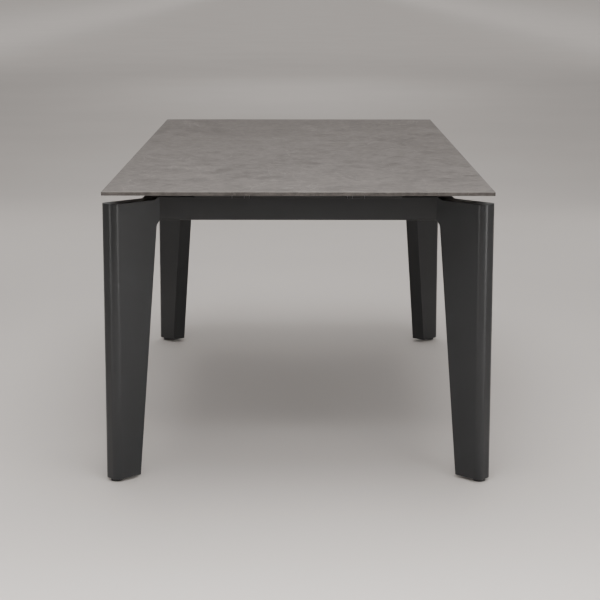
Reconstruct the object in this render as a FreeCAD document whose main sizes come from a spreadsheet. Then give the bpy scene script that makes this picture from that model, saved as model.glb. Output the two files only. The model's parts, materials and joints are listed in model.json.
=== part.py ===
"""Extendable dining table: a stone top on a steel frame, with a draw leaf stored under each end.

Frame of reference: origin on the floor under the middle of the table, +Z up, +Y along the length, millimetres.
The front end is at -Y and the rear end at +Y; left is -X and right is +X.
"""
import FreeCAD
import Part
import Sketcher
import os

Vector = FreeCAD.Vector

DRIVING_DIMENSIONS = {
    # top
    "table_length": 2200,
    "table_width": 950,
    "table_height": 770,
    "top_thickness": 10,
    "top_corner_radius": 3,
    "top_bevel": 1.4,
    "backing_thickness": 2,
    "backing_inset": 40,
    # steel frame under the top
    "frame_half_length": 838,
    "frame_half_width": 390,
    "frame_bottom": 665.5,
    "frame_top": 728,
    "rail_depth": 30,
    "tube_wall": 2,
    "tube_round": 4,
    "corner_block_end": 12,
    "spigot_length": 25,
    "fit_gap": 0.3,
    "beam_center": 445,
    "beam_width": 40,
    "beam_bottom": 668,
    "beam_top": 708,
    "support_half_length": 430,
    # legs, measured along a 45 degree ray that starts on the table's centre line
    "leg_ray_start": 447.7,
    "corner_face_radius": 526.2,
    "leg_end_radius": 681.4,
    "leg_thickness": 52,
    "leg_round": 18,
    "leg_edge_round": 1.2,
    "leg_bottom": 8,
    "leg_top": 719,
    "leg_shoulder": 16,
    "leg_knee_radius": 536.6,
    "leg_knee_height": 653,
    "leg_knee_round": 14,
    "leg_foot_inner_radius": 601.4,
    "leg_wall": 4,
    "leg_end_wall": 12,
    "plug_height": 20,
    "insert_thickness": 16,
    "insert_lift": 8,
    "insert_hole_radius": 5,
    # bolts that hold each leg on its corner block
    "bolt_radius": 4.95,
    "bolt_hole_radius": 5.1,
    "bolt_head_radius": 8,
    "bolt_head_height": 10,
    "bolt_low": 686,
    "bolt_high": 708,
    "bolt_grip": 20,
    # levelling feet
    "foot_radius": 660.9,
    "pad_radius": 15,
    "pad_height": 7.5,
    "pad_round": 1,
    "stem_radius": 4.95,
    "stem_hole_radius": 5,
    "stem_bottom": 3,
    "stem_top": 50,
    # draw leaves and the carriages that they ride on
    "leaf_length": 500,
    "leaf_gap": 1,
    "leaf_stored_end": 970,
    "runner_angle": 1.41,
    "pivot_inset": 29,
    "pivot_drop": 6,
    "pin_radius": 3,
    "pin_hole_radius": 3.05,
    "runner_width": 40,
    "runner_thickness": 10,
    "runner_length": 1145,
    "runner_end_inset": 11,
    "front_runner_center": 240,
    "rear_runner_center": 300,
    "crossbar_width": 40,
    "lug_center": 150,
    "lug_width": 12,
    "lug_reach": 10,
    "knuckle_half_width": 15,
    "knuckle_depth": 8,
    "lug_side_gap": 0.5,
    "stop_pin_inset": 10,
    "stop_pin_stand": 4,
    "guide_half_depth": 15,
    "guide_wall": 6,
    # lifting cam
    "cam_setback": 436,
    "cam_shaft_radius": 3.5,
    "cam_shaft_hole_radius": 3.55,
    "cam_shaft_end_gap": 2,
    "cam_hub_radius": 5.5,
    "cam_throw": 14.25,
    "cam_tip_radius": 3,
    "cam_rest_angle": 200,
    "cam_lobe_center": 120,
    "cam_lobe_width": 12,
    "bearing_width": 20,
    "bearing_depth": 24,
    "bearing_height": 11,
    "lever_length": 90,
    "lever_width": 18,
    "lever_thickness": 5,
}

CORNERS = {
    "front_left": (-1, -1),
    "front_right": (1, -1),
    "rear_left": (-1, 1),
    "rear_right": (1, 1),
}
ENDS = {"front": -1, "rear": 1}

doc = FreeCAD.newDocument("ExtendableTable")
sheet = doc.addObject("Spreadsheet::Sheet", "dims")
for row, (alias, value) in enumerate(DRIVING_DIMENSIONS.items(), start=1):
    sheet.set(f"A{row}", alias)
    sheet.set(f"B{row}", str(value))
    sheet.setAlias(f"B{row}", alias)
doc.recompute()

# Places worked out from the driving dimensions, as expressions on the sheet.
TOP_UNDERSIDE = "(dims.table_height - dims.top_thickness)"
BACKING_UNDERSIDE = f"({TOP_UNDERSIDE} - dims.backing_thickness)"
CORNER_SUM = "(dims.leg_ray_start + sqrt(2) * dims.corner_face_radius)"
CORNER_X = f"({CORNER_SUM} - dims.frame_half_length)"
CORNER_Y = f"({CORNER_SUM} - dims.frame_half_width)"
END_RAIL_HALF = f"({CORNER_X} - dims.corner_block_end)"
SIDE_RAIL_HALF = f"({CORNER_Y} - dims.corner_block_end)"
BLOCK_INNER_RADIUS = "(dims.corner_face_radius - (dims.rail_depth + dims.corner_block_end) / sqrt(2))"
RAIL_INNER_X = "(dims.frame_half_width - dims.rail_depth)"
RAIL_INNER_Y = "(dims.frame_half_length - dims.rail_depth)"
PIVOT_Y = "(dims.leaf_stored_end - dims.pivot_inset)"
LEAF_TRAVEL = "(dims.table_length / 2 + dims.leaf_gap + dims.leaf_length - dims.leaf_stored_end)"
SLOPE = "tan(dims.runner_angle)"
PIVOT_Z = f"({TOP_UNDERSIDE} - dims.pivot_drop - {LEAF_TRAVEL} * {SLOPE})"
LEAF_BOTTOM = "dims.pivot_drop"
HALF_RUNNER = "(dims.runner_thickness / 2)"

nodes = []


def number(expression):
    """The value of an expression on the sheet."""
    return float(sheet.evalExpression(expression))


def finish(piece, label):
    """Give a finished sub-part its label and put it on the list of sub-parts."""
    piece.Label = label
    nodes.append(piece)
    return piece


def put_on_ray(piece, corner):
    """Place a piece, modelled along +X, on the 45 degree ray of one corner."""
    side_x, side_y = CORNERS[corner]
    angle = {(1, 1): 45, (-1, 1): 135, (-1, -1): 225, (1, -1): 315}[side_x, side_y]
    piece.Placement = FreeCAD.Placement(Vector(), FreeCAD.Rotation(Vector(0, 0, 1), angle))
    piece.setExpression("Placement.Base.y", f"{side_y} * dims.leg_ray_start")
    return piece


def put_on_slope(piece, side):
    """Place a piece, modelled about the leaf's pivot, on the slope that the stored leaf lies on."""
    piece.Placement = FreeCAD.Placement(Vector(), FreeCAD.Rotation(Vector(side, 0, 0), 1))
    piece.setExpression("Placement.Rotation.Angle", "dims.runner_angle")
    piece.setExpression("Placement.Base.y", f"{side} * {PIVOT_Y}")
    piece.setExpression("Placement.Base.z", PIVOT_Z)
    return piece


def new_body(name):
    return doc.addObject("PartDesign::Body", name)


def new_sketch(body, role, name, offset="0"):
    """A sketch on one of the body's own origin planes, moved along that plane's normal."""
    plane = next(f for f in body.Origin.OriginFeatures if f.Role == role)
    sketch = body.newObject("Sketcher::SketchObject", name)
    sketch.AttachmentSupport = [(plane, "")]
    sketch.MapMode = "FlatFace"
    sketch.setExpression("AttachmentOffset.Base.z", offset)
    return sketch


def bind_point(sketch, geometry, position, name, x, y):
    """Fix one sketch point at coordinates that follow the sheet."""
    for axis, kind, expression in (("x", "DistanceX", x), ("y", "DistanceY", y)):
        value = number(expression)
        index = sketch.addConstraint(Sketcher.Constraint(kind, -1, 1, geometry, position, value))
        sketch.renameConstraint(index, f"{name}_{axis}")
        sketch.setExpression(f"Constraints.{name}_{axis}", expression)


def add_polygon(sketch, points, name="corner"):
    """A closed outline through points given as pairs of expressions."""
    first = sketch.GeometryCount
    values = [Vector(number(x), number(y), 0) for x, y in points]
    count = len(points)
    for i in range(count):
        sketch.addGeometry(Part.LineSegment(values[i], values[(i + 1) % count]), False)
    for i in range(count):
        following = first + (i + 1) % count
        sketch.addConstraint(Sketcher.Constraint("Coincident", first + i, 2, following, 1))
    for i, (x, y) in enumerate(points):
        bind_point(sketch, first + i, 1, f"{name}{i}", x, y)


def add_rectangle(sketch, x_low, x_high, y_low, y_high, name="corner"):
    add_polygon(sketch, [(x_low, y_low), (x_high, y_low), (x_high, y_high), (x_low, y_high)], name)


def add_circle(sketch, x, y, radius, name="hole"):
    index = sketch.GeometryCount
    centre = Vector(number(x), number(y), 0)
    sketch.addGeometry(Part.Circle(centre, Vector(0, 0, 1), number(radius)), False)
    bind_point(sketch, index, 3, name, x, y)
    constraint = sketch.addConstraint(Sketcher.Constraint("Radius", index, number(radius)))
    sketch.renameConstraint(constraint, f"{name}_radius")
    sketch.setExpression(f"Constraints.{name}_radius", radius)


def pad(body, sketch, length, symmetric=False, backwards=False):
    feature = body.newObject("PartDesign::Pad", "Pad")
    feature.Profile = sketch
    feature.SideType = "Symmetric" if symmetric else "One side"
    feature.Reversed = backwards
    feature.setExpression("Length", length)
    doc.recompute()
    return feature


def pocket(body, sketch, length, symmetric=False, backwards=False):
    """Cut a sketch into the body, and make sure that it did cut."""
    before = body.Shape.Volume
    feature = body.newObject("PartDesign::Pocket", "Pocket")
    feature.Profile = sketch
    feature.SideType = "Symmetric" if symmetric else "One side"
    feature.Reversed = backwards
    feature.setExpression("Length", length)
    doc.recompute()
    if body.Shape.Volume >= before - 1:
        raise RuntimeError(f"{body.Name}: the pocket {sketch.Name} cuts nothing")
    return feature


def dress_up(body, kind, size, wanted):
    """Fillet or chamfer the edges of the body's last feature that pass a test."""
    base = body.Tip
    names = [f"Edge{i}" for i, edge in enumerate(base.Shape.Edges, start=1) if wanted(edge)]
    if not names:
        raise RuntimeError(f"{body.Name}: no edge to round")
    feature = body.newObject(f"PartDesign::{kind}", kind)
    feature.Base = (base, names)
    feature.setExpression("Radius" if kind == "Fillet" else "Size", size)
    doc.recompute()
    return feature


def round_edges(body, kind, size, wanted):
    """Fillet or chamfer the open edges whose two ends pass a test."""

    def passes(edge):
        ends = [vertex.Point for vertex in edge.Vertexes]
        return len(ends) == 2 and wanted(ends[0], ends[1])

    return dress_up(body, kind, size, passes)


def round_rims(body, size):
    """Fillet every full circle."""
    return dress_up(body, "Fillet", size, lambda edge: edge.isClosed())


def near(a, b):
    return abs(a - b) < 0.01


def box(name, x, y, z):
    """A box between pairs of low and high expressions along each axis."""
    piece = doc.addObject("Part::Box", name)
    for size, axis, (low, high) in (("Length", "x", x), ("Width", "y", y), ("Height", "z", z)):
        piece.setExpression(size, f"({high}) - ({low})")
        piece.setExpression(f"Placement.Base.{axis}", low)
    return piece


def rod_along_x(name, radius, x, y, z):
    """A round rod along X between two expressions, with its axis at y and z."""
    piece = doc.addObject("Part::Cylinder", name)
    low, high = x
    piece.Placement = FreeCAD.Placement(Vector(), FreeCAD.Rotation(Vector(0, 1, 0), 90))
    piece.setExpression("Radius", radius)
    piece.setExpression("Height", f"({high}) - ({low})")
    piece.setExpression("Placement.Base.x", low)
    piece.setExpression("Placement.Base.y", y)
    piece.setExpression("Placement.Base.z", z)
    return piece


def upright_rod(name, radius, x, y, z):
    """A round rod along Z between two expressions."""
    piece = doc.addObject("Part::Cylinder", name)
    low, high = z
    piece.setExpression("Radius", radius)
    piece.setExpression("Height", f"({high}) - ({low})")
    piece.setExpression("Placement.Base.x", x)
    piece.setExpression("Placement.Base.y", y)
    piece.setExpression("Placement.Base.z", low)
    return piece


def fused(name, pieces):
    result = doc.addObject("Part::MultiFuse", name)
    result.Shapes = pieces
    return result


def cut(name, base, tool):
    result = doc.addObject("Part::Cut", name)
    result.Base = base
    result.Tool = tool
    return result


def group(name, pieces):
    """Identical pieces that share one node, each a solid of its own."""
    result = doc.addObject("Part::Compound", name)
    result.Links = pieces
    return result


def slab(name, half_width, y_low, y_high, z_low, length):
    """A stone slab with rounded corners and a fine bevel all round its top and bottom edges."""
    body = new_body(name)
    sketch = new_sketch(body, "XY_Plane", f"{name}_outline", z_low)
    add_rectangle(sketch, f"-({half_width})", half_width, y_low, y_high)
    pad(body, sketch, length)
    round_edges(body, "Fillet", "dims.top_corner_radius", lambda a, b: not near(a.z, b.z))
    top = number(z_low) + number(length)
    round_edges(body, "Chamfer", "dims.top_bevel", lambda a, b: near(a.z, top) and near(b.z, top))
    return body


def make_top():
    half = "dims.table_length / 2"
    top = slab("tabletop", "dims.table_width / 2", f"-({half})", half, TOP_UNDERSIDE, "dims.top_thickness")
    finish(top, "tabletop")
    inset_x = "(dims.table_width / 2 - dims.backing_inset)"
    inset_y = "(dims.table_length / 2 - dims.backing_inset)"
    plate = box(
        "top_backing_plate",
        (f"-{inset_x}", inset_x),
        (f"-{inset_y}", inset_y),
        (BACKING_UNDERSIDE, TOP_UNDERSIDE),
    )
    finish(plate, "top_backing_plate")


def tube(name, along, low, high, z_low, z_high, half_length):
    """A rectangular steel tube with rounded edges, centred on the table, along X or Y."""
    body = new_body(name)
    role = "YZ_Plane" if along == "X" else "XZ_Plane"
    sketch = new_sketch(body, role, f"{name}_section")
    add_rectangle(sketch, low, high, z_low, z_high, "outer")
    wall = "dims.tube_wall"
    add_rectangle(
        sketch, f"{low} + {wall}", f"{high} - {wall}", f"{z_low} + {wall}", f"{z_high} - {wall}", "inner"
    )
    pad(body, sketch, f"2 * {half_length}", symmetric=True)
    levels = (number(z_low), number(z_high))
    round_edges(
        body,
        "Fillet",
        "dims.tube_round",
        lambda a, b: near(a.z, b.z)
        and any(near(a.z, level) for level in levels)
        and near(abs(a.x if along == "X" else a.y), number(half_length))
        and near(abs(b.x if along == "X" else b.y), number(half_length))
        and not near(a.x if along == "X" else a.y, b.x if along == "X" else b.y),
    )
    return finish(body, name)


def make_rails():
    """Two end rails, two side rails, and the two beams across the frame."""
    levels = ("dims.frame_bottom", "dims.frame_top")
    for end, side in ENDS.items():
        faces = sorted([f"{side} * dims.frame_half_length", f"{side} * {RAIL_INNER_Y}"], key=number)
        tube(f"end_rail_{end}", "X", *faces, *levels, END_RAIL_HALF)
        middle = f"{side} * dims.beam_center"
        beam = (f"{middle} - dims.beam_width / 2", f"{middle} + dims.beam_width / 2")
        tube(f"cross_beam_{end}", "X", *beam, "dims.beam_bottom", "dims.beam_top", RAIL_INNER_X)
    for name, side in (("left", -1), ("right", 1)):
        faces = sorted([f"{side} * dims.frame_half_width", f"{side} * {RAIL_INNER_X}"], key=number)
        tube(f"side_rail_{name}", "Y", *faces, *levels, SIDE_RAIL_HALF)
        support = (*faces, "dims.frame_top", BACKING_UNDERSIDE, "dims.support_half_length")
        tube(f"top_support_{name}", "Y", *support)
    half = "dims.beam_width / 2"
    centre = (f"-({half})", half, "dims.beam_top", BACKING_UNDERSIDE, "dims.support_half_length")
    tube("top_support_centre", "Y", *centre)


def bolt_rods(name, radius, low, high):
    """Two rods along a leg's ray, at the heights of its two bolts."""
    heights = ("dims.bolt_low", "dims.bolt_high")
    return [rod_along_x(f"{name}{i}", radius, (low, high), "0", z) for i, z in enumerate(heights)]


def make_corner_block(corner):
    """Cast corner: a chamfered outer face for the leg, and a spigot into each of the two rails."""
    side_x, side_y = CORNERS[corner]
    name = f"corner_block_{corner}"
    outline = [
        (END_RAIL_HALF, "dims.frame_half_length"),
        (CORNER_X, "dims.frame_half_length"),
        ("dims.frame_half_width", CORNER_Y),
        ("dims.frame_half_width", SIDE_RAIL_HALF),
        (RAIL_INNER_X, SIDE_RAIL_HALF),
        (END_RAIL_HALF, RAIL_INNER_Y),
    ]
    body = new_body(f"{name}_casting")
    sketch = new_sketch(body, "XY_Plane", f"{name}_plan", "dims.frame_bottom")
    add_polygon(sketch, [(f"{side_x} * {x}", f"{side_y} * {y}") for x, y in outline])
    pad(body, sketch, "dims.frame_top - dims.frame_bottom")
    outer_x, outer_y = number("dims.frame_half_width"), number("dims.frame_half_length")
    round_edges(
        body,
        "Fillet",
        "dims.tube_round",
        lambda a, b: near(a.z, b.z)
        and (
            (near(abs(a.x), outer_x) and near(abs(b.x), outer_x))
            or (near(abs(a.y), outer_y) and near(abs(b.y), outer_y))
        ),
    )
    slack = "(dims.tube_wall + dims.fit_gap)"
    z = (f"dims.frame_bottom + {slack}", f"dims.frame_top - {slack}")
    spigots = []
    ranges = (
        (
            (f"{END_RAIL_HALF} - dims.spigot_length", END_RAIL_HALF),
            (f"{RAIL_INNER_Y} + {slack}", f"dims.frame_half_length - {slack}"),
        ),
        (
            (f"{RAIL_INNER_X} + {slack}", f"dims.frame_half_width - {slack}"),
            (f"{SIDE_RAIL_HALF} - dims.spigot_length", SIDE_RAIL_HALF),
        ),
    )
    for i, (x, y) in enumerate(ranges):
        x_pair = sorted([f"{side_x} * ({value})" for value in x], key=number)
        y_pair = sorted([f"{side_y} * ({value})" for value in y], key=number)
        spigots.append(box(f"{name}_spigot{i}", x_pair, y_pair, z))
    solid = fused(f"{name}_solid", [body, *spigots])
    low = f"{BLOCK_INNER_RADIUS} - dims.leg_end_wall"
    high = "dims.corner_face_radius + dims.leg_end_wall"
    drills = group(f"{name}_drills", bolt_rods(f"{name}_drill", "dims.bolt_hole_radius", low, high))
    put_on_ray(drills, corner)
    return finish(cut(name, solid, drills), name)


def make_leg(corner):
    """Hollow tapered plate leg: upright outer end with rounded corners, leaning inner edge."""
    name = f"leg_{corner}"
    body = new_body(name)
    inner, outer = "dims.corner_face_radius", "dims.leg_end_radius"
    foot, bottom, top = "dims.leg_foot_inner_radius", "dims.leg_bottom", "dims.leg_top"
    knee = ("dims.leg_knee_radius", "dims.leg_knee_height")
    shoulder = (f"{inner} + dims.leg_shoulder", top)
    outline = [
        (foot, bottom),
        (outer, bottom),
        (outer, top),
        shoulder,
        (inner, "dims.frame_top"),
        (inner, "dims.frame_bottom"),
        knee,
    ]
    sketch = new_sketch(body, "XZ_Plane", f"{name}_outline")
    add_polygon(sketch, outline)
    pad(body, sketch, "dims.leg_thickness", symmetric=True)

    def crosses_at(point):
        x, z = number(point[0]), number(point[1])
        return lambda a, b: all(near(p.x, x) and near(p.z, z) for p in (a, b))

    round_edges(body, "Fillet", "dims.leg_knee_round", crosses_at(knee))
    round_edges(body, "Fillet", "dims.leg_knee_round", crosses_at(shoulder))
    end = number(outer)
    round_edges(
        body,
        "Fillet",
        "dims.leg_round",
        lambda a, b: near(a.x, end) and near(b.x, end) and not near(a.z, b.z),
    )
    half = number("dims.leg_thickness") / 2
    wall_start = number(inner)
    round_edges(
        body,
        "Fillet",
        "dims.leg_edge_round",
        lambda a, b: near(abs(a.y), half)
        and near(a.y, b.y)
        and not (near(a.x, wall_start) and near(b.x, wall_start)),
    )
    wall = "dims.leg_wall"
    hollow = [
        (f"{foot} + {wall}", f"{bottom} - {wall}"),
        (f"{outer} - dims.leg_end_wall", f"{bottom} - {wall}"),
        (f"{outer} - dims.leg_end_wall", f"{top} - {wall}"),
        (f"{inner} + {wall}", f"{top} - {wall}"),
        (f"{inner} + {wall}", f"dims.frame_bottom + {wall}"),
        (f"{knee[0]} + {wall}", knee[1]),
    ]
    hollow_sketch = new_sketch(body, "XZ_Plane", f"{name}_hollow")
    add_polygon(hollow_sketch, hollow)
    pocket(body, hollow_sketch, f"dims.leg_thickness - 2 * {wall}", symmetric=True)
    holes = new_sketch(body, "YZ_Plane", f"{name}_bolt_holes", inner)
    add_circle(holes, "0", "dims.bolt_low", "dims.bolt_hole_radius", "low_hole")
    add_circle(holes, "0", "dims.bolt_high", "dims.bolt_hole_radius", "high_hole")
    past_the_wall = f"3 * {wall}"
    pocket(body, holes, past_the_wall, symmetric=True)
    put_on_ray(body, corner)
    return finish(body, name)


def make_leg_end_plug(corner):
    """Plug that closes the hollow leg and carries the foot's thread."""
    name = f"leg_end_plug_{corner}"
    body = new_body(name)
    sketch = new_sketch(body, "XY_Plane", f"{name}_plan", "dims.leg_bottom")
    half = "(dims.leg_thickness / 2 - dims.leg_wall - dims.fit_gap)"
    add_rectangle(
        sketch,
        "dims.leg_foot_inner_radius + dims.leg_wall + 2 * dims.fit_gap",
        "dims.leg_end_radius - dims.leg_end_wall - dims.fit_gap",
        f"-{half}",
        half,
    )
    add_circle(sketch, "dims.foot_radius", "0", "dims.stem_hole_radius")
    pad(body, sketch, "dims.plug_height")
    return finish(put_on_ray(body, corner), name)


def make_leg_insert(corner):
    """Threaded block inside the head of a leg, which its two bolts screw into."""
    name = f"leg_insert_{corner}"
    body = new_body(name)
    start = "dims.corner_face_radius + dims.leg_wall + dims.fit_gap"
    sketch = new_sketch(body, "YZ_Plane", f"{name}_face", start)
    half = "(dims.leg_thickness / 2 - dims.leg_wall - dims.fit_gap)"
    low = "dims.frame_bottom + dims.insert_lift"
    high = "dims.leg_top - dims.leg_wall - dims.fit_gap"
    add_rectangle(sketch, f"-{half}", half, low, high)
    add_circle(sketch, "0", "dims.bolt_low", "dims.insert_hole_radius", "low_hole")
    add_circle(sketch, "0", "dims.bolt_high", "dims.insert_hole_radius", "high_hole")
    pad(body, sketch, "dims.insert_thickness")
    return put_on_ray(body, corner)


def make_leg_bolts(corner):
    """Two cap-head bolts, from inside the corner block into the leg's insert."""
    face = BLOCK_INNER_RADIUS
    tip = "dims.corner_face_radius + dims.bolt_grip"
    heads = bolt_rods(f"head_{corner}", "dims.bolt_head_radius", f"{face} - dims.bolt_head_height", face)
    shanks = bolt_rods(f"shank_{corner}", "dims.bolt_radius", face, tip)
    bolts = [fused(f"bolt_{corner}{i}", list(pair)) for i, pair in enumerate(zip(heads, shanks))]
    return [put_on_ray(bolt, corner) for bolt in bolts]


def make_foot(corner):
    """Levelling foot: a rounded pad with a socket, and the threaded stem that turns in it."""
    name = f"foot_pad_{corner}"
    body = new_body(name)
    sketch = new_sketch(body, "XY_Plane", f"{name}_plan")
    add_circle(sketch, "dims.foot_radius", "0", "dims.pad_radius")
    pad(body, sketch, "dims.pad_height")
    round_rims(body, "dims.pad_round")
    socket = new_sketch(body, "XY_Plane", f"{name}_socket", "dims.pad_height")
    add_circle(socket, "dims.foot_radius", "0", "dims.stem_hole_radius")
    pocket(body, socket, "dims.pad_height - dims.stem_bottom")
    finish(put_on_ray(body, corner), name)

    stem_name = f"foot_stem_{corner}"
    stem = new_body(stem_name)
    plan = new_sketch(stem, "XY_Plane", f"{stem_name}_plan", "dims.stem_bottom")
    add_circle(plan, "dims.foot_radius", "0", "dims.stem_radius")
    pad(stem, plan, "dims.stem_top - dims.stem_bottom")
    finish(put_on_ray(stem, corner), stem_name)


def slope_block(name, side, x, out, up):
    """A block beside the leaf's pivot: x across, out along the slope, up square to it."""
    body = new_body(name)
    sketch = new_sketch(body, "YZ_Plane", f"{name}_side", x[0])
    y_low, y_high = sorted([f"{side} * ({value})" for value in out], key=number)
    add_rectangle(sketch, y_low, y_high, *up)
    pad(body, sketch, f"({x[1]}) - ({x[0]})")
    return body


def runner_center(end):
    return f"dims.{end}_runner_center"


def both_sides(centre, half_width):
    """The spans of a pair of pieces, left and right of the middle."""
    return [(f"{sign} * {centre} - {half_width}", f"{sign} * {centre} + {half_width}") for sign in (-1, 1)]


def height_on_slope(y, up):
    """The height of a point at distance y from the middle, up from the runner's middle plane."""
    return f"({PIVOT_Z} - ({PIVOT_Y} - ({y})) * {SLOPE} + ({up}) / cos(dims.runner_angle))"


def make_runner_guides(end):
    """Window brackets on the cross beam, which the runners slide through."""
    side = ENDS[end]
    guides = []
    top = height_on_slope("dims.beam_center", f"{HALF_RUNNER} + dims.guide_wall")
    middle = f"{side} * dims.beam_center"
    y = (f"{middle} - dims.guide_half_depth", f"{middle} + dims.guide_half_depth")
    opening = f"({HALF_RUNNER} + dims.fit_gap)"
    reach = f"({PIVOT_Y} - dims.beam_center)"
    overrun = "2 * dims.guide_half_depth"
    for i, x in enumerate(both_sides(runner_center(end), "(dims.runner_width / 2 + dims.guide_wall)")):
        block = box(f"guide_block_{end}{i}", x, y, ("dims.beam_top", top))
        inside = (f"{x[0]} + dims.guide_wall - dims.fit_gap", f"{x[1]} - dims.guide_wall + dims.fit_gap")
        out = (f"-{reach} - {overrun}", f"-{reach} + {overrun}")
        window = slope_block(f"guide_window_{end}{i}", side, inside, out, (f"-{opening}", opening))
        guides.append(cut(f"guide_{end}{i}", block, put_on_slope(window, side)))
    return finish(group(f"runner_guides_{end}", guides), f"runner_guides_{end}")


def make_rail_glides():
    """Low-friction pads on the end rails, under the runners."""
    glides = []
    inner_edge = f"({RAIL_INNER_Y} + dims.tube_wall)"
    outer_edge = "(dims.frame_half_length - dims.tube_wall)"
    top = height_on_slope(inner_edge, f"-{HALF_RUNNER} - dims.fit_gap")
    for end, side in ENDS.items():
        y = sorted([f"{side} * {inner_edge}", f"{side} * {outer_edge}"], key=number)
        for i, x in enumerate(both_sides(runner_center(end), "dims.runner_width / 2")):
            glides.append(box(f"glide_{end}{i}", x, y, ("dims.frame_top", top)))
    return finish(group("rail_glides", glides), "rail_glides")


def make_runners(end):
    side = ENDS[end]
    out = ("-dims.runner_end_inset - dims.runner_length", "-dims.runner_end_inset")
    up = (f"-{HALF_RUNNER}", HALF_RUNNER)
    spans = both_sides(runner_center(end), "dims.runner_width / 2")
    for hand, x in zip(("left", "right"), spans):
        name = f"runner_{end}_{hand}"
        body = slope_block(name, side, x, out, up)
        hole = new_sketch(body, "XY_Plane", f"{name}_stop_hole")
        far = "dims.runner_end_inset + dims.runner_length - dims.stop_pin_inset"
        middle = f"({x[0]} + dims.runner_width / 2)"
        add_circle(hole, middle, f"{-side} * ({far})", "dims.pin_hole_radius")
        pocket(body, hole, "2 * dims.runner_thickness", symmetric=True)
        finish(put_on_slope(body, side), name)


def make_crossbar(end):
    """Bar between the outer ends of the runners, with a pair of lugs round each leaf knuckle."""
    side = ENDS[end]
    up = (f"-{HALF_RUNNER}", HALF_RUNNER)
    half = f"({runner_center(end)} - dims.runner_width / 2)"
    back = "(dims.runner_end_inset + dims.crossbar_width)"
    depth = (f"-{back}", "-dims.runner_end_inset")
    bar = slope_block(f"crossbar_{end}_bar", side, (f"-{half}", half), depth, up)
    lugs = []
    start = "(dims.knuckle_half_width + dims.lug_side_gap)"
    for sign in (-1, 1):
        for outward in (-1, 1):
            near_face = f"{sign} * dims.lug_center + {outward} * {start}"
            far_face = f"{sign} * dims.lug_center + {outward} * ({start} + dims.lug_width)"
            x = sorted([near_face, far_face], key=number)
            out = ("-dims.runner_end_inset", "dims.lug_reach")
            lugs.append(slope_block(f"crossbar_{end}_lug{len(lugs)}", side, x, out, up))
    solid = fused(f"crossbar_{end}_solid", [bar, *lugs])
    reach = f"({start} + dims.lug_width + dims.lug_side_gap)"
    holes = []
    for i, x in enumerate(both_sides("dims.lug_center", reach)):
        holes.append(rod_along_x(f"lug_hole_{end}{i}", "dims.pin_hole_radius", x, "0", "0"))
    piece = cut(f"crossbar_{end}", solid, group(f"lug_holes_{end}", holes))
    return finish(put_on_slope(piece, side), f"crossbar_{end}")


def make_hinge_pins(end):
    reach = "(dims.knuckle_half_width + dims.lug_side_gap + dims.lug_width)"
    spans = both_sides("dims.lug_center", reach)
    pins = [rod_along_x(f"pin_{end}{i}", "dims.pin_radius", x, "0", "0") for i, x in enumerate(spans)]
    piece = group(f"hinge_pins_{end}", pins)
    return finish(put_on_slope(piece, ENDS[end]), f"hinge_pins_{end}")


def make_stop_pins(end):
    """Pins through the inner ends of the runners, which meet the guides when the leaf is out."""
    far = "(dims.runner_end_inset + dims.runner_length - dims.stop_pin_inset)"
    y = f"{-ENDS[end]} * {far}"
    reach = f"({HALF_RUNNER} + dims.stop_pin_stand)"
    pins = []
    for sign in (-1, 1):
        x = f"{sign} * {runner_center(end)}"
        pins.append(upright_rod(f"stop_{end}{len(pins)}", "dims.pin_radius", x, y, (f"-{reach}", reach)))
    piece = group(f"stop_pins_{end}", pins)
    return finish(put_on_slope(piece, ENDS[end]), f"stop_pins_{end}")


def make_cam_bearings(end):
    """Blocks on the runners' inner sides, which the cam shaft turns in."""
    side = ENDS[end]
    blocks = []
    outer = f"({runner_center(end)} - dims.runner_width / 2)"
    inner = f"({outer} - dims.bearing_width)"
    out = ("-dims.cam_setback - dims.bearing_depth / 2", "-dims.cam_setback + dims.bearing_depth / 2")
    up = (f"{HALF_RUNNER} - dims.bearing_height", HALF_RUNNER)
    for sign in (-1, 1):
        x = sorted([f"{sign} * {outer}", f"{sign} * {inner}"], key=number)
        blocks.append(slope_block(f"bearing_{end}{len(blocks)}_block", side, x, out, up))
    y = f"{-side} * dims.cam_setback"
    hole = rod_along_x(f"bearing_hole_{end}", "dims.cam_shaft_hole_radius", (f"-{outer}", outer), y, "0")
    pieces = [cut(f"bearing_{end}{i}", block, hole) for i, block in enumerate(blocks)]
    piece = group(f"cam_bearings_{end}", pieces)
    return finish(put_on_slope(piece, side), f"cam_bearings_{end}")


def make_leaf(end):
    """Stone leaf, stored under the end of the top, with the knuckles that it is hinged by."""
    side = ENDS[end]
    out = ("dims.pivot_inset - dims.leaf_length", "dims.pivot_inset")
    y = sorted([f"{side} * ({value})" for value in out], key=number)
    leaf = slab(f"leaf_{end}", "dims.table_width / 2", *y, LEAF_BOTTOM, "dims.top_thickness")
    finish(put_on_slope(leaf, side), f"leaf_{end}")
    knuckles = []
    depth = ("-dims.knuckle_depth", "dims.knuckle_depth")
    for i, x in enumerate(both_sides("dims.lug_center", "dims.knuckle_half_width")):
        block = slope_block(f"knuckle_block_{end}{i}", side, x, depth, (f"-{HALF_RUNNER}", LEAF_BOTTOM))
        hole = rod_along_x(f"knuckle_hole_{end}{i}", "dims.pin_hole_radius", x, "0", "0")
        knuckles.append(cut(f"knuckle_{end}{i}", block, hole))
    piece = group(f"leaf_knuckles_{end}", knuckles)
    finish(put_on_slope(piece, side), f"leaf_knuckles_{end}")


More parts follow.
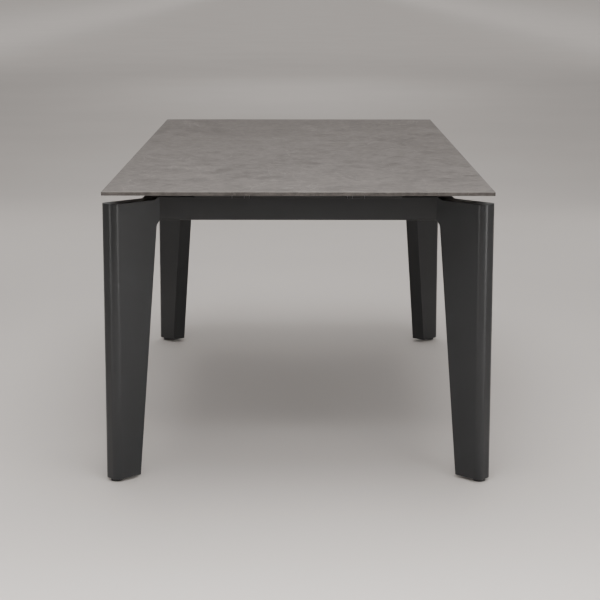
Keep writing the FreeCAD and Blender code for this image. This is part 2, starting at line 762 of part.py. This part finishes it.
def make_cam(end):
    """Shaft with two lobes that push the leaf's inner end up, and the lever that turns it."""
    side = ENDS[end]
    y = f"({-side} * dims.cam_setback)"
    half = f"({runner_center(end)} - dims.runner_width / 2 - dims.cam_shaft_end_gap)"
    parts = [rod_along_x(f"cam_rod_{end}", "dims.cam_shaft_radius", (f"-{half}", half), y, "0")]
    tip_y = f"{y} + {side} * dims.cam_throw * cos(dims.cam_rest_angle)"
    tip_z = "dims.cam_throw * sin(dims.cam_rest_angle)"
    across_y = f"{side} * dims.cam_tip_radius * sin(dims.cam_rest_angle)"
    across_z = "dims.cam_tip_radius * cos(dims.cam_rest_angle)"
    for i, x in enumerate(both_sides("dims.cam_lobe_center", "dims.cam_lobe_width / 2")):
        parts.append(rod_along_x(f"cam_hub_{end}{i}", "dims.cam_hub_radius", x, y, "0"))
        parts.append(rod_along_x(f"cam_tip_{end}{i}", "dims.cam_tip_radius", x, tip_y, tip_z))
        arm = new_body(f"cam_arm_{end}{i}")
        sketch = new_sketch(arm, "YZ_Plane", f"cam_arm_{end}{i}_side", x[0])
        add_polygon(
            sketch,
            [
                (f"{y} - {across_y}", across_z),
                (f"{y} + {across_y}", f"-{across_z}"),
                (f"{tip_y} + {across_y}", f"{tip_z} - {across_z}"),
                (f"{tip_y} - {across_y}", f"{tip_z} + {across_z}"),
            ],
        )
        pad(arm, sketch, "dims.cam_lobe_width")
        parts.append(arm)
    shaft = fused(f"cam_shaft_{end}", parts)
    finish(put_on_slope(shaft, side), f"cam_shaft_{end}")

    name = f"cam_lever_{end}"
    half_width = "(dims.lever_width / 2)"
    span = (f"-{half_width}", half_width)
    eye = rod_along_x(f"{name}_eye", "dims.cam_hub_radius", span, y, "0")
    bar = slope_block(
        f"{name}_bar",
        side,
        span,
        ("-dims.cam_setback", "-dims.cam_setback + dims.lever_length"),
        ("-dims.lever_thickness / 2", "dims.lever_thickness / 2"),
    )
    tip = number(f"{y} + {side} * dims.lever_length")
    round_edges(
        bar,
        "Fillet",
        "dims.lever_thickness",
        lambda a, b: near(a.y, tip) and near(b.y, tip) and near(a.x, b.x),
    )
    bore = rod_along_x(f"{name}_bore", "dims.cam_shaft_hole_radius", span, y, "0")
    lever = cut(name, fused(f"{name}_solid", [eye, bar]), bore)
    finish(put_on_slope(lever, side), name)


def check_document():
    """Stop if any object failed, or if a sub-part's shape isn't a valid solid."""
    doc.recompute()
    for item in doc.Objects:
        if "Invalid" in item.State or "Error" in item.State:
            raise RuntimeError(f"{item.Name} failed: {item.State}")
    for piece in nodes:
        if piece.Shape.isNull() or not piece.Shape.isValid() or not piece.Shape.Solids:
            raise RuntimeError(f"{piece.Label} has no valid solid")


make_top()
make_rails()
for corner_name in CORNERS:
    make_corner_block(corner_name)
    make_leg(corner_name)
    make_leg_end_plug(corner_name)
    make_foot(corner_name)
finish(group("leg_inserts", [make_leg_insert(corner_name) for corner_name in CORNERS]), "leg_inserts")
bolts = [bolt for corner_name in CORNERS for bolt in make_leg_bolts(corner_name)]
finish(group("leg_bolts", bolts), "leg_bolts")
make_rail_glides()
for end_name in ENDS:
    make_runner_guides(end_name)
    make_runners(end_name)
    make_crossbar(end_name)
    make_hinge_pins(end_name)
    make_stop_pins(end_name)
    make_cam_bearings(end_name)
    make_leaf(end_name)
    make_cam(end_name)
check_document()

os.makedirs("parts", exist_ok=True)
for piece in nodes:
    piece.Shape.exportStep(os.path.join("parts", f"{piece.Label}.step"))
print(len(nodes), "sub-parts written")
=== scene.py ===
import json
import math

import bmesh
import bpy
from mathutils import Matrix, Vector


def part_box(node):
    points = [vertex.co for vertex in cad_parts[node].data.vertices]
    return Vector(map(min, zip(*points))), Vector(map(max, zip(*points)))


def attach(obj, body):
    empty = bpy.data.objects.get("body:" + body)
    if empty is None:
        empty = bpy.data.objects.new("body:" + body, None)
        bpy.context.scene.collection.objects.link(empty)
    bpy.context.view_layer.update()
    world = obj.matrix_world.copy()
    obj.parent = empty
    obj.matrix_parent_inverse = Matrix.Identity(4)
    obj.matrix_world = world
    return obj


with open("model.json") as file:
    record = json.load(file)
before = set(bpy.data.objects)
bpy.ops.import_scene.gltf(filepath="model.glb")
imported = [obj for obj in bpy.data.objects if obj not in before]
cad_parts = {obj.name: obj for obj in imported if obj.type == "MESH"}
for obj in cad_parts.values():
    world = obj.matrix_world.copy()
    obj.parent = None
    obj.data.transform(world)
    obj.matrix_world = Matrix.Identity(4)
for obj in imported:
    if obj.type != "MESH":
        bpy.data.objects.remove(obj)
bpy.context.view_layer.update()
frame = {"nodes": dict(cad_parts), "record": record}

# ---------------------------------------------------------------- node helpers


class Shader:
    """A material's node tree, with short ways to add and join its nodes."""

    def __init__(self, name):
        self.material = bpy.data.materials.new(name)
        self.material.use_nodes = True
        self.nodes = self.material.node_tree.nodes
        self.links = self.material.node_tree.links
        self.surface = next(n for n in self.nodes if n.type == "BSDF_PRINCIPLED")
        self.place = self.nodes.new("ShaderNodeTexCoord").outputs["Object"]

    def set(self, **values):
        """Set the surface's own sockets: Base_Color=(r, g, b, 1), Roughness=0.5."""
        for name, value in values.items():
            self.surface.inputs[name.replace("_", " ")].default_value = value

    def join(self, source, socket):
        self.links.new(source, socket)

    def mapped(self, scale, turn=0.0, shift=0.0):
        """Object coordinates, scaled along each axis, turned about Z and shifted alike on all three."""
        node = self.nodes.new("ShaderNodeMapping")
        node.inputs["Location"].default_value = (shift, shift, shift)
        node.inputs["Rotation"].default_value = (0.0, 0.0, turn)
        node.inputs["Scale"].default_value = scale
        self.join(self.place, node.inputs["Vector"])
        return node.outputs["Vector"]

    def noise(self, scale, detail, roughness, place=None, distortion=0.0):
        node = self.nodes.new("ShaderNodeTexNoise")
        node.inputs["Scale"].default_value = scale
        node.inputs["Detail"].default_value = detail
        node.inputs["Roughness"].default_value = roughness
        node.inputs["Distortion"].default_value = distortion
        self.join(place or self.place, node.inputs["Vector"])
        return node.outputs["Fac"]

    def cells(self, scale):
        """Distance to the nearest of many scattered points."""
        node = self.nodes.new("ShaderNodeTexVoronoi")
        node.inputs["Scale"].default_value = scale
        self.join(self.place, node.inputs["Vector"])
        return node.outputs["Distance"]

    def math(self, operation, first, second=0.0, clamp=False):
        """One sum on two values, each a number or another node's output."""
        node = self.nodes.new("ShaderNodeMath")
        node.operation = operation
        node.use_clamp = clamp
        for i, value in enumerate((first, second)):
            if hasattr(value, "links"):
                self.join(value, node.inputs[i])
            else:
                node.inputs[i].default_value = value
        return node.outputs[0]

    def remap(self, value, low, high, to_low=0.0, to_high=1.0):
        """Stretch low to high onto to_low to to_high, and hold the ends."""
        node = self.nodes.new("ShaderNodeMapRange")
        self.join(value, node.inputs["Value"])
        limits = zip(("From Min", "From Max", "To Min", "To Max"), (low, high, to_low, to_high))
        for name, number in limits:
            node.inputs[name].default_value = number
        return node.outputs["Result"]

    def mix(self, amount, first, second):
        """Mix two colours, each a tuple or another node's output."""
        node = self.nodes.new("ShaderNodeMix")
        node.data_type = "RGBA"
        sockets = [s for s in node.inputs if s.type == "RGBA"]
        factor = next(s for s in node.inputs if s.name == "Factor" and s.type == "VALUE")
        for socket, value in ((factor, amount), (sockets[0], first), (sockets[1], second)):
            if hasattr(value, "links"):
                self.join(value, socket)
            elif isinstance(value, tuple):
                socket.default_value = (*value, 1.0)
            else:
                socket.default_value = value
        return next(s for s in node.outputs if s.type == "RGBA")

    def bump(self, height, distance, strength, normal=None):
        """Relief of the given depth in metres, laid over an earlier relief if there is one."""
        node = self.nodes.new("ShaderNodeBump")
        node.inputs["Strength"].default_value = strength
        node.inputs["Distance"].default_value = distance
        self.join(height, node.inputs["Height"])
        if normal is not None:
            self.join(normal, node.inputs["Normal"])
        return node.outputs["Normal"]

    def color(self, source):
        self.join(source, self.surface.inputs["Base Color"])

    def roughness(self, source):
        self.join(source, self.surface.inputs["Roughness"])

    def normal(self, source):
        self.join(source, self.surface.inputs["Normal"])


# ---------------------------------------------------------------- materials


def stone():
    """Warm grey sintered stone: clouds, a mottle and thin pale broken veins, with painted shade on the
    sawn edge and a painted highlight on its bevel.
    """
    cloud_dark, cloud_pale = (0.072, 0.063, 0.058), (0.113, 0.101, 0.093)
    mottle_dark, mottle_pale = (0.053, 0.047, 0.043), (0.136, 0.122, 0.114)
    fleck_dark, fleck_pale = (0.051, 0.046, 0.042), (0.154, 0.140, 0.130)
    grain_dark = (0.056, 0.050, 0.047)
    pit_dark = (0.052, 0.047, 0.045)
    vein_pale = (0.221, 0.202, 0.189)
    painted_edge_shade = (0.011, 0.010, 0.009)
    painted_bevel_highlight = (0.200, 0.187, 0.176)
    vein_share, edge_shade_share, bevel_highlight_share = 0.45, 0.50, 0.6
    bevel_tilt = 0.7  # the Z part of the bevel's normal
    vein_stretch = (1.0, 0.45, 1.0)  # the veins run along the table

    s = Shader("stone_slab")
    s.set(Specular_IOR_Level=0.24)
    clouds = s.noise(4.2, 7.0, 0.62, distortion=0.8)
    mottle = s.noise(17.0, 8.0, 0.66, distortion=0.5)
    grain = s.noise(230.0, 3.0, 0.6)
    flecks = s.noise(58.0, 4.0, 0.6)
    base = s.mix(s.remap(clouds, 0.36, 0.64), cloud_dark, cloud_pale)
    base = s.mix(s.remap(mottle, 0.40, 0.62, 0.0, 0.85), base, mottle_pale)
    base = s.mix(s.remap(mottle, 0.36, 0.46, 0.45, 0.0), base, mottle_dark)
    base = s.mix(s.remap(grain, 0.3, 0.72, 0.0, 0.35), base, grain_dark)
    base = s.mix(s.remap(flecks, 0.50, 0.66, 0.0, 0.5), base, fleck_pale)
    base = s.mix(s.remap(flecks, 0.36, 0.47, 0.4, 0.0), base, fleck_dark)

    # a vein is where a slow noise passes one level; a second noise breaks it into lengths
    veins = None
    layers = (  # noise scale, level, half width of the line, shift, turn in radians
        (1.5, 0.50, 0.0050, 0.0, 0.7),
        (2.6, 0.47, 0.0045, 7.0, -0.5),
        (4.5, 0.53, 0.0060, 3.0, 0.2),
    )
    for scale, level, width, shift, turn in layers:
        place = s.mapped(vein_stretch, turn, shift)
        field = s.noise(scale, 9.0, 0.58, place, 1.1)
        away = s.math("ABSOLUTE", s.math("SUBTRACT", field, level))
        line = s.remap(away, 0.0, width, 1.0, 0.0)
        gaps = s.remap(s.noise(6.0, 3.0, 0.5, place), 0.47, 0.60)
        broken = s.math("MULTIPLY", line, gaps, clamp=True)
        veins = broken if veins is None else s.math("MAXIMUM", veins, broken)
    base = s.mix(s.math("MULTIPLY", veins, vein_share), base, vein_pale)

    pits = s.remap(s.cells(330.0), 0.02, 0.12)
    base = s.mix(s.remap(pits, 0.0, 1.0, 0.22, 0.0), base, pit_dark)

    facing = s.nodes.new("ShaderNodeSeparateXYZ")
    s.join(s.nodes.new("ShaderNodeNewGeometry").outputs["True Normal"], facing.inputs[0])
    # painted shade: the upright sawn faces are darkened so the edge reads darker than the top
    upright = s.remap(s.math("ABSOLUTE", facing.outputs["Z"]), 0.3, 0.6, edge_shade_share, 0.0)
    base = s.mix(upright, base, painted_edge_shade)
    # painted highlight: faces tilted like the bevel are made pale, as if catching the light
    slant = s.math("ABSOLUTE", s.math("SUBTRACT", facing.outputs["Z"], bevel_tilt))
    s.color(s.mix(s.remap(slant, 0.05, 0.15, bevel_highlight_share, 0.0), base, painted_bevel_highlight))

    s.roughness(s.remap(mottle, 0.3, 0.7, 0.50, 0.64))
    relief = s.bump(mottle, 0.0006, 0.5)
    relief = s.bump(grain, 0.00025, 0.5, relief)
    s.normal(s.bump(pits, 0.0002, 0.6, relief))
    return s.material


def powder_coat(name, color, roughness, peel=0.00014):
    """Matt powder coat on steel: orange peel of the given depth in metres, fine grain, faint clouds."""
    s = Shader(name)
    s.set(Specular_IOR_Level=0.36, Coat_Weight=0.08, Coat_Roughness=0.34)
    clouds = s.noise(5.0, 5.0, 0.6)
    grain = s.noise(1500.0, 2.0, 0.5)
    lighter = tuple(c * 1.22 for c in color)
    darker = tuple(c * 0.8 for c in color)
    base = s.mix(s.remap(clouds, 0.35, 0.65), color, lighter)
    s.color(s.mix(s.remap(grain, 0.35, 0.65, 0.0, 0.55), base, darker))
    s.roughness(s.remap(s.noise(40.0, 4.0, 0.6), 0.3, 0.7, roughness - 0.05, roughness + 0.05))
    orange = s.bump(s.noise(620.0, 2.0, 0.45), peel, 0.55)
    s.normal(s.bump(grain, peel * 0.4, 0.5, orange))
    return s.material


def brushed_metal(name, color, roughness, along):
    """Bare or plated steel with fine drawn lines; along gives the axis that the lines run on."""
    s = Shader(name)
    s.set(Metallic=1.0)
    lines_along, lines_across = 14.0, 900.0
    across = tuple(lines_along if axis == along else lines_across for axis in "XYZ")
    lines = s.noise(1.0, 3.0, 0.6, s.mapped(across))
    stains = s.noise(30.0, 5.0, 0.6)
    base = s.mix(s.remap(lines, 0.3, 0.7), tuple(c * 0.82 for c in color), color)
    s.color(s.mix(s.remap(stains, 0.5, 0.72, 0.0, 0.35), base, tuple(c * 0.62 for c in color)))
    s.roughness(s.remap(s.math("ADD", lines, stains), 0.7, 1.3, roughness - 0.08, roughness + 0.12))
    s.normal(s.bump(lines, 0.00006, 0.6))
    return s.material


def moulded(name, color, roughness):
    """Injection-moulded nylon: fine spark-eroded texture and a slight flow variation."""
    s = Shader(name)
    s.set(Specular_IOR_Level=0.45)
    flow = s.noise(22.0, 3.0, 0.5)
    s.color(s.mix(s.remap(flow, 0.35, 0.65), color, tuple(min(1.0, c * 1.25) for c in color)))
    s.roughness(s.remap(flow, 0.3, 0.7, roughness - 0.06, roughness + 0.06))
    s.normal(s.bump(s.noise(900.0, 3.0, 0.6), 0.00008, 0.6))
    return s.material


def floor_material():
    """Pale matt studio floor, a little uneven in tone."""
    darker, paler = (0.495, 0.466, 0.444), (0.515, 0.485, 0.462)
    s = Shader("studio_floor")
    s.set(Roughness=0.9, Specular_IOR_Level=0.12)
    s.color(s.mix(s.remap(s.noise(0.8, 2.0, 0.5), 0.3, 0.7), darker, paler))
    return s.material


def assign_materials():
    """Give every CAD node the finish of its material slot."""
    finishes = {
        "stone_slab": stone(),
        "backing_sheet": brushed_metal("backing_sheet", (0.30, 0.30, 0.31), 0.42, "Y"),
        "anthracite_coat": powder_coat("anthracite_coat", (0.0122, 0.0131, 0.0143), 0.37),
        "inner_frame_coat": powder_coat("inner_frame_coat", (0.024, 0.0245, 0.026), 0.55),
        "black_steel": powder_coat("black_steel", (0.020, 0.020, 0.021), 0.40, 0.0001),
        "zinc_steel": brushed_metal("zinc_steel", (0.58, 0.58, 0.60), 0.30, "X"),
        "black_nylon": moulded("black_nylon", (0.0045, 0.0045, 0.005), 0.55),
        "pale_nylon": moulded("pale_nylon", (0.62, 0.61, 0.57), 0.42),
        "lever_enamel": powder_coat("lever_enamel", (0.020, 0.020, 0.022), 0.36, 0.00008),
    }
    for part in frame["record"]["subparts"]:
        piece = frame["nodes"][part["node"]]
        for holder in piece.material_slots:
            holder.material = finishes[part["material_slot"]]


# ---------------------------------------------------------------- painted seam shade

# a dark strip of painted shade along the seam between a leg's wing and its corner block, in metres
JOINT_WIDTH = 0.0022
JOINT_PROUD = 0.0004  # how far it stands out of the steel, so that it shows
JOINT_DEPTH = 0.0006  # how far it reaches into the steel
JOINT_SHORT = 0.0005  # how much it stops short of the block's top and bottom
JOINT_ROUNDING = 0.0001


def painted_seam_shade(name, low, high, material):
    """A slim dark strip with rounded edges: painted shade in the seam where two coated steel parts meet.
    """
    form = bmesh.new()
    bmesh.ops.create_cube(form, size=1.0)
    size = [top - bottom for bottom, top in zip(low, high)]
    middle = [(top + bottom) / 2 for bottom, top in zip(low, high)]
    bmesh.ops.scale(form, vec=size, verts=form.verts)
    bmesh.ops.translate(form, vec=middle, verts=form.verts)
    bmesh.ops.bevel(form, geom=form.edges[:], offset=JOINT_ROUNDING, segments=2, affect="EDGES")
    mesh = bpy.data.meshes.new(name)
    form.to_mesh(mesh)
    form.free()
    mesh.materials.append(material)
    line = bpy.data.objects.new(name, mesh)
    bpy.context.collection.objects.link(line)
    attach(line, "frame")


def make_painted_seam_shades():
    """Where each leg wing meets its corner block, on the end of the table and on its long side, a dark
    strip paints the seam's shade.
    """
    # painted shade: a near-black coat for the seam strips
    material = powder_coat("painted_seam_shade_coat", (0.0012, 0.0012, 0.0012), 0.85)
    for corner in ("front_left", "front_right", "rear_left", "rear_right"):
        leg_low, leg_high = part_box(f"leg_{corner}")
        block_low, block_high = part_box(f"corner_block_{corner}")
        left = "left" in corner
        front = "front" in corner
        seam_x = leg_high[0] if left else leg_low[0]
        seam_y = leg_high[1] if front else leg_low[1]
        face_x = block_low[0] if left else block_high[0]
        face_y = block_low[1] if front else block_high[1]
        out_x = -1.0 if left else 1.0
        out_y = -1.0 if front else 1.0
        spans = {
            "end": (
                (seam_x + out_x * JOINT_WIDTH, seam_x),
                (face_y + out_y * JOINT_PROUD, face_y - out_y * JOINT_DEPTH),
            ),
            "side": (
                (face_x + out_x * JOINT_PROUD, face_x - out_x * JOINT_DEPTH),
                (seam_y + out_y * JOINT_WIDTH, seam_y),
            ),
        }
        for face, (span_x, span_y) in spans.items():
            low = (min(span_x), min(span_y), block_low[2] + JOINT_SHORT)
            high = (max(span_x), max(span_y), block_high[2] - JOINT_SHORT)
            painted_seam_shade(f"painted_seam_shade_{face}_{corner}", low, high, material)


# ---------------------------------------------------------------- studio


FLOOR_RADIUS = 160.0
FLOOR_GAP = 0.0005  # keeps the floor clear of the undersides of the feet, which are at 0
LAMP_TINT = (1.0, 0.985, 0.97)


def make_floor():
    """A wide floor disc, which fills the background in every view."""
    bpy.ops.mesh.primitive_circle_add(
        vertices=128, radius=FLOOR_RADIUS, fill_type="NGON", location=(0, 0, -FLOOR_GAP)
    )
    floor = bpy.context.object
    floor.name = "studio_floor"
    floor.data.materials.append(floor_material())


def area_light(name, place, target, size, power):
    """A soft box at place that looks at target; size is its width and height, power is in watts."""
    light = bpy.data.lights.new(name, "AREA")
    light.shape = "RECTANGLE"
    light.size, light.size_y = size
    light.energy = power
    light.color = LAMP_TINT
    lamp = bpy.data.objects.new(name, light)
    lamp.visible_camera = False
    lamp.location = place
    lamp.rotation_euler = (Vector(target) - Vector(place)).to_track_quat("-Z", "Y").to_euler()
    bpy.context.collection.objects.link(lamp)
    return lamp


def down_light(name, place, size, power, glossy=True):
    """A soft box that looks straight down. One that isn't glossy leaves no gleam."""
    lamp = area_light(name, place, (place[0], place[1], 0.0), size, power)
    lamp.visible_glossy = glossy


def make_surround():
    """An even grey surround, darker towards the horizon and brighter overhead."""
    world = bpy.data.worlds.new("surround")
    world.use_nodes = True
    nodes, links = world.node_tree.nodes, world.node_tree.links
    direction = nodes.new("ShaderNodeTexCoord").outputs["Generated"]
    split = nodes.new("ShaderNodeSeparateXYZ")
    links.new(direction, split.inputs[0])
    ramp = nodes.new("ShaderNodeMapRange")
    ramp.data_type = "FLOAT_VECTOR"
    links.new(split.outputs["Z"], ramp.inputs["Vector"])
    settings = {
        "From_Min_FLOAT3": (0.0, 0.0, 0.0),
        "From_Max_FLOAT3": (0.6, 0.6, 0.6),
        "To_Min_FLOAT3": (0.315, 0.306, 0.298),
        "To_Max_FLOAT3": (0.395, 0.384, 0.375),
    }
    for name, value in settings.items():
        next(s for s in ramp.inputs if s.identifier == name).default_value = value
    links.new(ramp.outputs["Vector"], nodes["Background"].inputs["Color"])
    bpy.context.scene.world = world


def make_lights():
    """Soft boxes above the table and its surroundings, and smaller ones in front of the short end."""
    down_light("overhead", (0.0, -0.7, 3.4), (2.2, 3.4), 99.0)
    area_light("overhead_rear", (0.0, 1.6, 3.4), (0.0, 0.6, 0.0), (2.2, 2.4), 23.0)
    down_light("near_floor", (0.0, -2.6, 2.2), (4.0, 0.5), 50.0)
    down_light("near_floor_low", (0.0, -2.25, 0.6), (4.0, 0.4), 16.0)

    # floor behind the table, then the wide floor around it, out to the horizon
    down_light("far_floor", (0.0, 7.5, 5.0), (8.0, 8.0), 89.0, glossy=False)
    length_to_width = 2.6
    far_row = ((4.5, 3.2, 1.7, 40.0), (9.0, 3.2, 1.7, 20.0), (14.5, 3.2, 1.9, 62.0))
    for number, (distance, height, width, power) in enumerate(far_row):
        size = (width, length_to_width * width)
        down_light(f"far_row_{number}", (0.0, distance, height), size, power, glossy=False)
    down_light("outer_floor_left", (-103.0, 0.0, 1.2), (196.0, 300.0), 70000.0, glossy=False)
    down_light("outer_floor_right", (103.0, 0.0, 1.2), (196.0, 300.0), 70000.0, glossy=False)
    down_light("outer_floor_front", (0.0, -76.7, 0.7), (10.0, 146.6), 2400.0, glossy=False)
    down_light("outer_floor_rear", (0.0, 85.0, 5.0), (14.0, 134.0), 3300.0, glossy=False)

    for side, x in (("left", -1.0), ("right", 1.0)):
        area_light(f"long_side_{side}", (4.6 * x, 0.2, 1.7), (0.0, 0.2, 0.45), (3.0, 1.0), 6.0)
        area_light(f"rear_{side}", (2.6 * x, 3.9, 1.5), (0.0, 1.0, 0.45), (1.2, 1.2), 12.0)

    # these draw the tall highlights on the legs and the apron's dark-to-light gradient
    short_end = (0.0, -0.9, 0.57)
    area_light("low_front", (0.3, -5.8, 2.0), short_end, (1.8, 1.0), 34.0)
    area_light("low_left", (-3.2, -2.6, 0.6), short_end, (0.7, 1.1), 18.0)
    area_light("low_right", (3.1, -2.6, 0.6), short_end, (0.9, 1.1), 27.0)
    area_light("right_box", (1.7, -3.2, 1.6), short_end, (0.8, 0.8), 9.0)
    area_light("right_low_box", (4.4, -2.3, 0.55), short_end, (0.9, 0.5), 13.5)
    area_light("front_box", (0.0, -2.3, 1.5), short_end, (0.8, 0.8), 5.0)


# ---------------------------------------------------------------- camera

SENSOR_WIDTH = 36.0  # mm
FOCAL_LENGTH = 108.0  # mm
CAMERA_PLACE = (0.003, -5.405, 1.284)
LOOK_DOWN = math.radians(10.25)
# radians: the photograph isn't quite square to the table
TURN = -0.00033
ROLL = 0.001


def make_camera():
    """A long lens at the short end of the table, a little above the top and looking slightly down."""
    camera_data = bpy.data.cameras.new("camera")
    camera_data.sensor_width = SENSOR_WIDTH
    camera_data.lens = FOCAL_LENGTH
    camera_data.clip_end = 500.0
    camera = bpy.data.objects.new("camera", camera_data)
    turn = Matrix.Rotation(TURN, 4, "Z")
    tilt = Matrix.Rotation(math.radians(90.0) - LOOK_DOWN, 4, "X")
    roll = Matrix.Rotation(ROLL, 4, "Z")
    camera.matrix_world = Matrix.Translation(CAMERA_PLACE) @ turn @ tilt @ roll
    bpy.context.collection.objects.link(camera)
    bpy.context.scene.camera = camera


# ---------------------------------------------------------------- build order


make_camera()
make_floor()
make_surround()
make_lights()
assign_materials()
make_painted_seam_shades()
